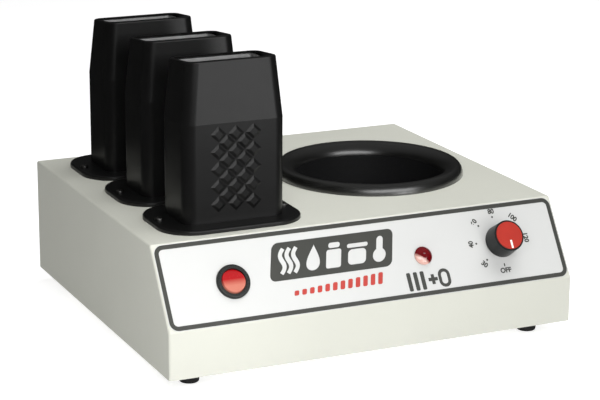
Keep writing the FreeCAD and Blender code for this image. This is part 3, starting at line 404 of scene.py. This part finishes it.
def red_lens_with_painted_highlight():
    """Clear red lens, deep red with a painted highlight: a pale patch at its lower left."""
    made = finish("lens", (0.12, 0.0015, 0.004), 0.10, spread=0.03, grain_height=0.000004,
                  Coat_Weight=1.0, Coat_Roughness=0.04)
    tree = made.node_tree
    shader = tree.nodes["Principled BSDF"]
    # Painted highlight: pale colour mixed in towards the lower left of the lens.
    offset = painted_light_along(tree, middle_of("indicator_lens"), LENS_PAINTED_HIGHLIGHT_WAY)
    pale = between(tree, offset, 0, 1, start=1.8 * MM, stop=3.8 * MM)
    base = shader.inputs["Base Color"].links[0].from_socket
    tree.links.new(mixed(tree, pale, base, (0.70, 0.42, 0.36)), shader.inputs["Base Color"])
    return made


def braid():
    """Braided glass-fibre sleeving."""
    made = finish("glass_sleeving", (0.72, 0.69, 0.60), 0.75, mottle=0.08, mottle_scale=400.0,
                  grain=2600.0, grain_height=0.00008)
    tree = made.node_tree
    shader = tree.nodes["Principled BSDF"]
    fine = shader.inputs["Normal"].links[0].from_socket
    weave = node(tree, "ShaderNodeTexVoronoi", {"Vector": own_place(tree), "Scale": 1100.0})
    tree.links.new(bump(tree, weave.outputs["Distance"], 0.0002, onto=fine), shader.inputs["Normal"])
    return made


def floor_material():
    """Plain pale studio floor."""
    made = finish("studio_floor", (0.50, 0.50, 0.50), 0.7, mottle=0.004, mottle_scale=3.0, grain=300.0,
                  Specular_IOR_Level=0.2)
    shader = made.node_tree.nodes["Principled BSDF"]
    shader.inputs["Emission Color"].default_value = (1, 1, 1, 1)
    shader.inputs["Emission Strength"].default_value = 0.75
    return made


def slot_materials():
    """One material for each of the record's slots."""
    up_and_down = (1, 1, 0.03)
    return {
        "casing_paint": paint(),
        "base_steel": finish("underside_coat", (0.55, 0.55, 0.50), 0.5, grain=800.0, grain_height=0.00004),
        "zinc_screw": finish("zinc", (0.62, 0.62, 0.60), 0.33, mottle=0.12, mottle_scale=500.0,
                             Metallic=1.0),
        # Nickel made far darker than bright plating, so the screws read dim grey.
        "nickel_screw": finish("darkened_nickel", (0.15, 0.15, 0.145), 0.42, mottle=0.05, mottle_scale=700.0,
                               grain_height=0.000006, Metallic=1.0),
        "foot_rubber": finish("rubber", (0.018, 0.018, 0.018), 0.72, mottle=0.15, mottle_scale=300.0,
                              grain=2200.0, grain_height=0.00005, Specular_IOR_Level=0.3),
        "label_print": finish("label_sheet", (0.55, 0.555, 0.545), 0.36, spread=0.04, mottle=0.006,
                              grain=2600.0, grain_height=0.00001, Specular_IOR_Level=0.45),
        "switch_black": finish("switch_plastic", (0.014, 0.015, 0.014), 0.30, mottle=0.10,
                               grain_height=0.00001, Specular_IOR_Level=0.5),
        "rocker_red": rocker_glow_and_painted_reflection(),
        "terminal_brass": finish("tinned_brass", (0.70, 0.60, 0.40), 0.34, mottle=0.08, mottle_scale=600.0,
                                 Metallic=1.0),
        "lens_red": red_lens_with_painted_highlight(),
        "inner_black": finish("phenolic", (0.05, 0.05, 0.05), 0.55, mottle=0.2, mottle_scale=700.0),
        "spring_steel": finish("steel_strip", (0.56, 0.56, 0.55), 0.32, mottle=0.06, mottle_scale=300.0,
                               grain=600.0, stretch=up_and_down, Metallic=1.0),
        "shaft_steel": finish("turned_steel", (0.60, 0.60, 0.59), 0.28, mottle=0.05, grain=2000.0,
                              Metallic=1.0),
        "knob_black": finish("knob_plastic", (0.006, 0.008, 0.008), 0.38, mottle=0.10, grain_height=0.00002,
                             Specular_IOR_Level=0.35),
        "knob_red": finish("knob_cap_plastic", (0.38, 0.028, 0.018), 0.48, spread=0.05, mottle=0.05,
                           mottle_scale=120.0, grain_height=0.000012, Specular_IOR_Level=0.25),
        "pointer_white": finish("pointer_inlay", (0.90, 0.88, 0.82), 0.45, mottle=0.02,
                                grain_height=0.000008),
        "housing_black": finish("housing_moulding", (0.005, 0.005, 0.005), 0.34, spread=0.04, mottle=0.12,
                                mottle_scale=60.0, grain=2000.0, grain_height=0.00001,
                                Specular_IOR_Level=0.36),
        "sleeve_aluminium": finish("drawn_aluminium", (0.80, 0.80, 0.80), 0.50, mottle=0.06,
                                   mottle_scale=200.0, grain=900.0, stretch=up_and_down, Metallic=1.0),
        "heater_ceramic": finish("ceramic", (0.74, 0.70, 0.60), 0.7, mottle=0.05, mottle_scale=300.0),
        "mica": finish("mica_board", (0.42, 0.36, 0.25), 0.45, mottle=0.25, mottle_scale=500.0),
        "collar_black": finish("collar_moulding", (0.006, 0.006, 0.0055), 0.33, spread=0.04, mottle=0.10,
                               mottle_scale=60.0, grain=2000.0, grain_height=0.000015,
                               Specular_IOR_Level=1.0, Coat_Weight=1.0, Coat_Roughness=0.24),
        "pot_coating": pot_lining(),
        "glass_wool": finish("glass_wool", (0.72, 0.66, 0.44), 0.95, mottle=0.2, mottle_scale=250.0,
                             grain=500.0, grain_height=0.0012),
        "bulb_copper": finish("copper", (0.72, 0.36, 0.22), 0.32, mottle=0.12, mottle_scale=250.0,
                              Metallic=1.0),
        "inlet_black": finish("inlet_plastic", (0.016, 0.016, 0.016), 0.45, mottle=0.10,
                              Specular_IOR_Level=0.45),
        "terminal_white": finish("polyamide", (0.78, 0.76, 0.68), 0.48, mottle=0.04, mottle_scale=200.0),
        "lead_sleeving": braid(),
    }


def dress_nodes(by_slot):
    """Gives every CAD node the material of its slot."""
    for subpart in frame["record"]["subparts"]:
        mesh = frame["nodes"][subpart["node"]].data
        mesh.materials.clear()
        mesh.materials.append(by_slot[subpart["material_slot"]])


# Collar round the pot's mouth

def replacement(name, shape, material, cad_node):
    """Turns a finished shape into a casing piece that stands for a CAD node."""
    mesh = bpy.data.meshes.new(name)
    shape.to_mesh(mesh)
    shape.free()
    mesh.materials.append(material)
    piece = link(name, mesh)
    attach(piece, "casing")
    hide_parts(cad_node)
    return piece


def collar_section():
    """Closed outline of the collar, radius and height above the casing in millimetres."""
    low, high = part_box("pot_collar")
    outer = (high.x - low.x) / 2 / MM
    height = (high.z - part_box("casing_shell")[1].z) / MM
    crest = outer - COLLAR_EDGE_W
    edge = [(crest + COLLAR_EDGE_W * x, height * y) for x, y in arc_points(0, 0, 1, 0, 90, COLLAR_POINTS)]
    lip_end = 180 - math.degrees(math.asin((COLLAR_LIP_R - height - COLLAR_LIP_D) / COLLAR_LIP_R))
    lip = arc_points(crest, height - COLLAR_LIP_R, COLLAR_LIP_R, 90, lip_end, COLLAR_POINTS)
    back = ((COLLAR_LIP_BACK, -COLLAR_LIP_D), (COLLAR_LIP_BACK, POT_RIM_T),
            (COLLAR_RECESS_R, POT_RIM_T), (COLLAR_RECESS_R, 0))
    return edge + lip[1:] + list(back)


def make_collar(moulding):
    """Collar with a full, round lip, turned about the pot's axis."""
    axis = middle_of("pot_collar")
    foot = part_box("casing_shell")[1].z
    section = collar_section()
    shape = bmesh.new()
    rings = []
    for i in range(COLLAR_TURNS):
        a = math.tau * i / COLLAR_TURNS
        rings.append([shape.verts.new((axis.x + r * MM * math.cos(a), axis.y + r * MM * math.sin(a),
                                       foot + z * MM)) for r, z in section])
    for first, second in zip(rings, rings[1:] + rings[:1]):
        for j, k in zip(range(len(section)), list(range(1, len(section))) + [0]):
            shape.faces.new((first[j], second[j], second[k], first[k]))
    bmesh.ops.recalc_face_normals(shape, faces=shape.faces)
    for face in shape.faces:
        face.smooth = True
    for edge in shape.edges:
        edge.smooth = edge.calc_face_angle() < SHARP_FROM
    replacement("collar_ring", shape, moulding, "pot_collar")


# Glass wool round the pot

def wool_section():
    """Closed cross-section of the mat, from -1 to 1 both ways, with soft corners."""
    section = []
    for i in range(WOOL_ROUND):
        a = math.tau * i / WOOL_ROUND
        x, z = math.cos(a), math.sin(a)
        section.append((math.copysign(abs(x) ** WOOL_CORNER, x), math.copysign(abs(z) ** WOOL_CORNER, z)))
    return section


def wool_lump(angle, z, phase):
    """Unevenness of the mat's surface, from 0 to 1."""
    slow, middling, quick = WOOL_WAVE_SIZES
    wave = slow * math.sin(11 * angle + 2.3 * z + phase)
    wave += middling * math.sin(23 * angle - 3.1 * z + 2 * phase)
    wave += quick * math.sin(47 * angle + 5.0 * z * math.sin(9 * angle) + phase)
    return 0.5 + wave / (2 * sum(WOOL_WAVE_SIZES))


def make_wool(wool):
    """Uneven mat of glass wool, open at the heater's ears, in the space of its CAD solid."""
    low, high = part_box("pot_insulation")
    axis = middle_of("heating_pot")
    middle_z = (low.z + high.z) / 2
    half_h = (high.z - low.z) / 2
    middle_r = (high.y - low.y) / 2 - WOOL_THICK / 2
    shape = bmesh.new()
    rings = []
    for i in range(WOOL_STATIONS + 1):
        turn = math.pi + WOOL_OPEN + (math.tau - 2 * WOOL_OPEN) * i / WOOL_STATIONS
        ring = []
        for x, z in wool_section():
            sink = WOOL_SINK * wool_lump(turn, z, x)
            radius = middle_r + x * (WOOL_THICK / 2 - sink)
            height = middle_z + z * (half_h - WOOL_SINK * wool_lump(turn, x, 4 * z))
            ring.append(shape.verts.new((axis.x + radius * math.cos(turn),
                                         axis.y + radius * math.sin(turn), height)))
        rings.append(ring)
    for first, second in zip(rings, rings[1:]):
        for i in range(WOOL_ROUND):
            j = (i + 1) % WOOL_ROUND
            shape.faces.new((first[i], first[j], second[j], second[i]))
    shape.faces.new(rings[0])
    shape.faces.new(rings[-1][::-1])
    bmesh.ops.recalc_face_normals(shape, faces=shape.faces)
    for face in shape.faces:
        face.smooth = True
    piece = replacement("wool_mat", shape, wool, "pot_insulation")


# Print on the control panel

def to_piece(raw, name, ink, matrix):
    """Turns a filled curve or text, in millimetres, into a closed mesh that lies on the label."""
    mesh = bpy.data.meshes.new_from_object(raw)
    bpy.data.objects.remove(raw)
    shape = bmesh.new()
    shape.from_mesh(mesh)
    bmesh.ops.remove_doubles(shape, verts=shape.verts, dist=WELD)
    shape.transform(matrix)
    bmesh.ops.recalc_face_normals(shape, faces=shape.faces)
    shape.to_mesh(mesh)
    shape.free()
    mesh.materials.clear()
    mesh.materials.append(ink)
    piece = link(name, mesh)
    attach(piece, "casing")


def printed(name, outlines, ink, across=0.0, up=0.0, turn=0.0):
    """Thin printed shape from closed outlines; an outline inside another is a hole."""
    curve = bpy.data.curves.new(name, "CURVE")
    curve.dimensions = "2D"
    curve.fill_mode = "BOTH"
    curve.extrude = PRINT_T / 2
    for outline in outlines:
        spline = curve.splines.new("POLY")
        spline.points.add(len(outline) - 1)
        for point, (x, y) in zip(spline.points, outline):
            point.co = (x, y, 0, 1)
        spline.use_cyclic_u = True
    to_piece(link(name, curve), name, ink, panel_matrix(across, up, PRINT_T / 2, turn))


def printed_text(name, text, ink, across, up, turn):
    """Thin printed numeral, centred on a place."""
    curve = bpy.data.curves.new(name, "FONT")
    curve.body = text
    curve.size = DIAL_TEXT_SIZE
    curve.align_x = "CENTER"
    curve.align_y = "CENTER"
    curve.offset = DIAL_TEXT_WEIGHT
    curve.extrude = PRINT_T / 2
    to_piece(link(name, curve), name, ink, panel_matrix(across, up, PRINT_T / 2, turn))


def print_border(ink):
    """Frame round the edge of the label."""
    width = LABEL_W - 2 * BORDER_MARGIN
    height = LABEL_H - 2 * BORDER_MARGIN
    middle = panel_place(LABEL_TOP)
    outer = rounded_rectangle(0, 0, width, height, BORDER_R)
    inner = rounded_rectangle(0, 0, width - 2 * BORDER_STROKE, height - 2 * BORDER_STROKE,
                              BORDER_R - BORDER_STROKE)
    printed("label_border", [outer, inner], ink, *middle)


def print_dial(ink):
    """Marks and numerals round the knob, clockwise from the bottom."""
    axis = panel_place(joints["knob_turn"]["pos_m"])
    across, up = (at + shift for at, shift in zip(axis, DIAL_SHIFT))
    for i, text in enumerate(DIAL_MARKS):
        angle = math.radians(-90 - i * DIAL_STEP)
        x, y = math.cos(angle), math.sin(angle)
        dot = circle(0, 0, DIAL_DOT_R, DIAL_DOT_POINTS)
        if i == 0:
            dot = rounded_rectangle(0, 0, *OFF_BAR)
        printed("dial_mark_" + text, [dot], ink, across + DIAL_DOTS_R * x, up + DIAL_DOTS_R * y)
        turn = math.degrees(angle) - 90 if i > 1 else math.degrees(angle) + 90
        reach = DIAL_TEXT_R + (DIAL_LONG_SHIFT if len(text) > 2 and i > 0 else 0)
        printed_text("dial_number_" + text, text, ink, across + reach * x, up + reach * y, turn)


def drop_outline():
    """Falling drop: round below, drawn to a point above."""
    points = []
    for i in range(DROP_POINTS):
        t = math.tau * i / DROP_POINTS
        points.append((DROP_HALF * math.sin(t) * math.sin(t / 2) ** DROP_TAPER,
                       DROP_HALF * DROP_STRETCH * math.cos(t)))
    return points


def wave_outline(x):
    """Rising wave of warm air."""
    line = [(x + WAVE_H * WAVE_SWING * math.sin(math.tau * i / WAVE_STEPS), WAVE_H * (i / WAVE_STEPS - 0.5))
            for i in range(WAVE_STEPS + 1)]
    return ribbon(line, WAVE_STROKE)


def thermometer_outline():
    """Round bulb below a stem with a round end."""
    return arc_points(*STEM_TOP, 0, 180, 10) + arc_points(*BULB, 120, 420, 24)


def icon_outlines():
    """Pictograms with their widths, left to right: heat, drop, cartridge, pot, thermometer."""
    heat = [wave_outline(side * WAVE_PITCH) for side in (-1, 0, 1)]
    cartridge = [rounded_rectangle(*CARTRIDGE_BODY), rounded_rectangle(*CARTRIDGE_CAP)]
    pot = [rounded_rectangle(*POT_BODY), rounded_rectangle(*POT_LID)]
    return ((WAVES_W, heat), (DROP_W, [drop_outline()]), (CARTRIDGE_BODY[2], cartridge),
            (POT_LID[2], pot), (2 * BULB[2], [thermometer_outline()]))


def print_plate(ink):
    """Dark leaning plate with a row of pictograms left clear in it."""
    icons = icon_outlines()
    gap = (PLATE_W - 2 * ICON_MARGIN - sum(width for width, icon in icons)) / (len(icons) - 1)
    outlines = [slanted(rounded_rectangle(0, 0, PLATE_W, PLATE_H, PLATE_R))]
    left = ICON_MARGIN - PLATE_W / 2
    for width, icon in icons:
        outlines += [slanted(outline, left + width / 2) for outline in icon]
        left += width + gap
    printed("pictogram_plate", outlines, ink, *PLATE_MIDDLE)


def print_level_bars(ink):
    """Row of red bars that grow to the right, for rising heat."""
    for i in range(BAR_N):
        height = BAR_LOW + (BAR_HIGH - BAR_LOW) * i / (BAR_N - 1)
        bar = slanted(rounded_rectangle(0, height / 2, BAR_W, height, BAR_W * BAR_CORNER))
        printed("level_bar_%02d" % (i + 1), [bar], ink, BARS_LEFT + i * BAR_PITCH, BARS_UP)


def print_count(ink):
    """Three upright bars, a cross and a ring: three cartridges and one pot."""
    middle, up = COUNT_MIDDLE
    bar = rounded_rectangle(0, 0, COUNT_BAR_W, COUNT_H, COUNT_BAR_W * BAR_CORNER)
    for i in range(CARTRIDGES):
        across = middle + COUNT_BARS_SHIFT + i * COUNT_BAR_PITCH
        printed("cartridge_mark_%d" % (i + 1), [bar], ink, across, up)
    printed("plus_mark", [cross(0, 0, PLUS_SIZE, PLUS_STROKE)], ink, middle + PLUS_SHIFT, up)
    ring = [rounded_rectangle(0, 0, *RING_OUTER), rounded_rectangle(0, 0, *RING_HOLE)]
    printed("pot_mark", ring, ink, middle + RING_SHIFT, up)


def print_label():
    """Everything printed on the label."""
    colours = (("dark_ink", (0.040, 0.041, 0.036)), ("red_ink", (0.42, 0.040, 0.030)))
    dark, red = (finish(name, colour, 0.42, mottle=0.06, grain=2600.0, grain_height=0.00001)
                 for name, colour in colours)
    print_border(dark)
    print_dial(dark)
    print_plate(dark)
    print_level_bars(red)
    print_count(dark)


# Studio

def make_floor():
    """Plain floor under the warmer."""
    corners = [(x * FLOOR_HALF, y * FLOOR_HALF, 0) for x, y in ((-1, -1), (1, -1), (1, 1), (-1, 1))]
    mesh = bpy.data.meshes.new("floor")
    mesh.from_pydata(corners, [], [(0, 1, 2, 3)])
    mesh.materials.append(floor_material())
    floor = link("floor", mesh)
    floor.visible_glossy = False


def make_lights():
    """Softboxes, and a dim sky that is darker near the horizon."""
    for name, place, target, width, height, watts, spread, mirrored in LIGHTS:
        light = bpy.data.lights.new(name, "AREA")
        light.shape = "RECTANGLE"
        light.size = width
        light.size_y = height
        light.energy = watts
        light.spread = math.radians(spread)
        made = link(name, light)
        made.location = place
        made.rotation_euler = (Vector(target) - Vector(place)).to_track_quat("-Z", "Y").to_euler()
        made.visible_camera = False
        made.visible_glossy = mirrored
    world = bpy.data.worlds.new("studio")
    world.use_nodes = True
    tree = world.node_tree
    direction = node(tree, "ShaderNodeTexCoord")
    split = node(tree, "ShaderNodeSeparateXYZ", {"Vector": direction.outputs["Generated"]})
    strength = between(tree, split.outputs["Z"], SKY_LOW, SKY_ABOVE, *SKY_RISES)
    background = tree.nodes["Background"]
    background.inputs["Color"].default_value = (1, 1, 1, 1)
    tree.links.new(strength, background.inputs["Strength"])
    bpy.context.scene.world = world


def make_camera():
    """Long lens from the front left, looking a little down."""
    camera = bpy.data.cameras.new("camera")
    camera.lens = LENS_MM
    made = link("camera", camera)
    turn = Matrix.Rotation(math.radians(CAMERA_TURN), 4, "Z")
    tip = Matrix.Rotation(math.radians(90 - CAMERA_DROP), 4, "X")
    roll = Matrix.Rotation(math.radians(CAMERA_ROLL), 4, "Z")
    made.matrix_world = Matrix.Translation(CAMERA_AT) @ turn @ tip @ roll
    bpy.context.scene.camera = made


def set_view():
    """Plain colours, and smoothed noise in the picture."""
    scene = bpy.context.scene
    scene.view_settings.view_transform = "Standard"
    scene.cycles.use_denoising = True


by_slot = slot_materials()
dress_nodes(by_slot)
make_collar(by_slot["collar_black"])
make_wool(by_slot["glass_wool"])
print_label()
make_floor()
make_lights()
make_camera()
set_view()
